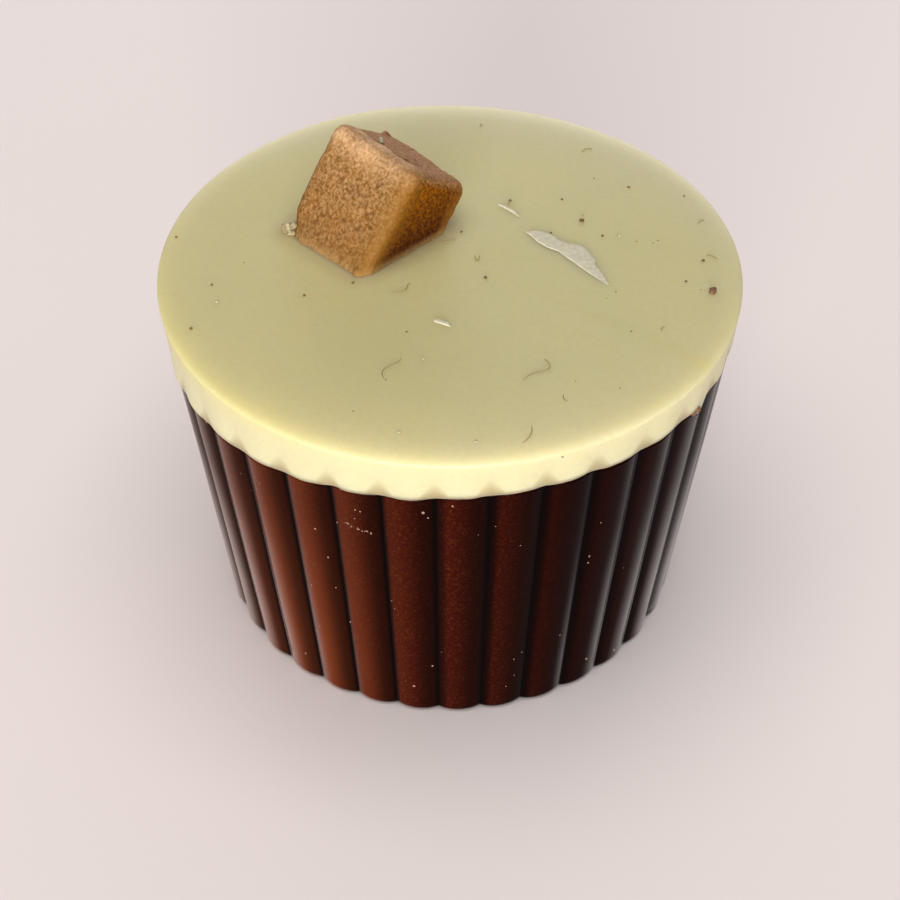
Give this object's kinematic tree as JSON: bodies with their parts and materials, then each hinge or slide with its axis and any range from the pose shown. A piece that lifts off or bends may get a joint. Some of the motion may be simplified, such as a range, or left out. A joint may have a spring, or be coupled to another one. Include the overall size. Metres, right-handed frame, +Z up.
{
  "type": "chocolate bonbon",
  "caption": "Fluted dark chocolate cup topped with a level layer of white chocolate, with a block of fudge pressed into it at a lean and flakes of white chocolate.",
  "frame": {"origin": "middle of the flat base, on the surface that the bonbon stands on", "axes": "+Z up, -Y towards the front, which is the side that is looked at most, and +X to the right of that front"},
  "size_m": [0.0349, 0.0348, 0.0302],
  "materials": {
    "dark_chocolate": "satin, moulded",
    "white_chocolate": "soft satin, poured",
    "fudge": "matt, finely grained"
  },
  "bodies": {
    "root": {"dark_chocolate_cup": "dark_chocolate", "white_chocolate_layer": "white_chocolate", "fudge_block": "fudge"}
  },
  "joints": []
}
